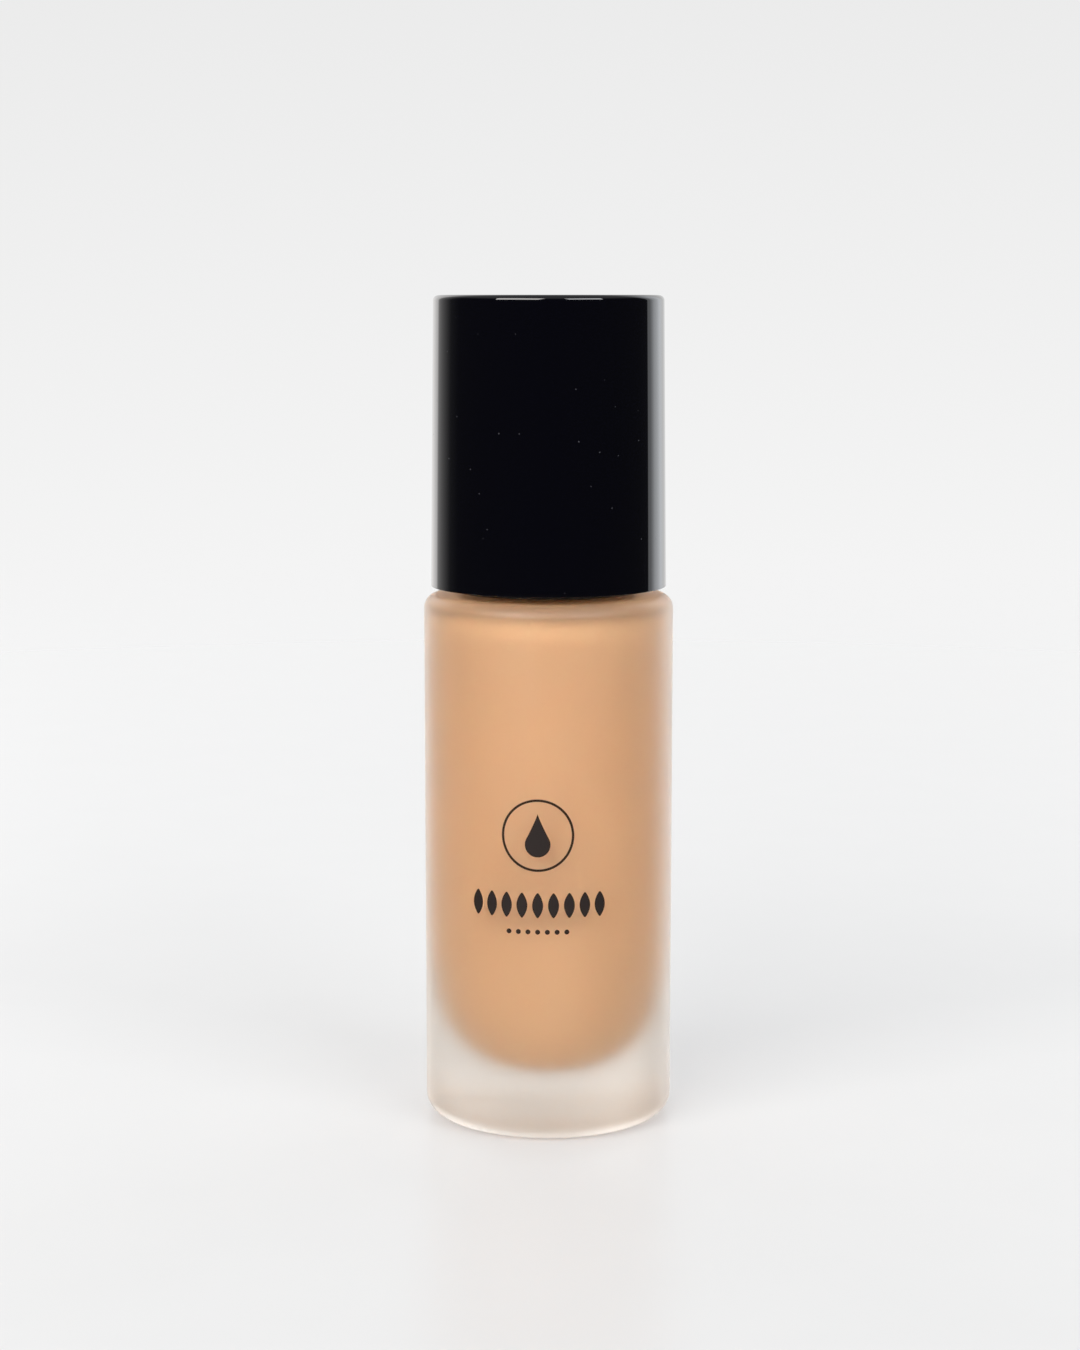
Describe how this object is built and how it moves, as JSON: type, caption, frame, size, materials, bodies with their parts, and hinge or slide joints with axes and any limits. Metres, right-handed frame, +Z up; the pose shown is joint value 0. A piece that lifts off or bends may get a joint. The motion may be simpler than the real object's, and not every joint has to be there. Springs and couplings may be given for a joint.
{
  "type": "foundation bottle",
  "caption": "Thick frosted glass foundation bottle, filled, with a screw-on press pump, a collar cover and a tall black push-on overcap.",
  "frame": {"origin": "centre of the foot's standing plane, on the bottle's axis", "axes": "+Z up along the bottle's axis; the pump's nozzle points along -Y, and +X is to the right seen from the front"},
  "size_m": [0.035, 0.035, 0.116],
  "materials": {
    "frosted_glass": "acid-etched outside, satin white haze",
    "foundation": "opaque beige emulsion",
    "black_gloss": "high-gloss injection moulding, deep black",
    "black_liner": "satin moulded",
    "white_pp": "satin moulded polypropylene",
    "natural_pp": "unpigmented, milky",
    "natural_pe": "extruded, unpigmented, milky",
    "seal_pe": "soft, waxy",
    "pe_foam": "fine closed-cell foam",
    "spring_steel": "drawn stainless wire",
    "steel_ball": "ground and polished stainless"
  },
  "bodies": {
    "bottle": {"bottle_glass": "frosted_glass", "foundation_liquid": "foundation"},
    "pump": {"pump_housing": "natural_pp", "chaplet": "white_pp", "neck_gasket": "pe_foam", "dip_tube": "natural_pe", "ball_retainer": "white_pp", "return_spring": "spring_steel"},
    "closure": {"screw_closure": "white_pp", "collar_cover": "black_gloss"},
    "cap": {"cap_shell": "black_gloss", "cap_liner": "black_liner"},
    "plunger": {"piston_rod": "white_pp"},
    "actuator": {"actuator_head": "black_gloss", "nozzle_insert": "black_liner", "stem": "white_pp"},
    "piston": {"piston_seal": "seal_pe"},
    "ball": {"check_ball": "steel_ball"}
  },
  "joints": [
    {"name": "pump_rise", "type": "slide", "parent": "bottle", "child": "pump", "axis": [0, 0, 1], "range_m": [0, 0.00476]},
    {"name": "closure_turn", "type": "hinge", "parent": "pump", "child": "closure", "pos_m": [0, 0, 0.0855], "axis": [0, 0, 1], "range_deg": [0, 540]},
    {"name": "cap_lift", "type": "slide", "parent": "closure", "child": "cap", "axis": [0, 0, 1], "range_m": [0, 0.045]},
    {"name": "actuator_press", "type": "slide", "parent": "pump", "child": "plunger", "axis": [0, 0, -1], "range_m": [0, 0.0038], "stiffness_N_per_m": 1500, "springref_m": -0.0027, "deforming": ["return_spring"]},
    {"name": "nozzle_swivel", "type": "hinge", "parent": "plunger", "child": "actuator", "pos_m": [0, 0, 0.1037], "axis": [0, 0, 1], "continuous": true},
    {"name": "piston_slip", "type": "slide", "parent": "pump", "child": "piston", "axis": [0, 0, -1], "range_m": [0, 0.0033]},
    {"name": "ball_lift", "type": "slide", "parent": "pump", "child": "ball", "axis": [0, 0, 1], "range_m": [0, 0.001]}
  ],
  "couplings": [
    {"joint": "pump_rise", "follows": "closure_turn", "m_per_rad": 0.00050532},
    {"joint": "piston_slip", "follows": "actuator_press", "ratio": 0.86842}
  ]
}
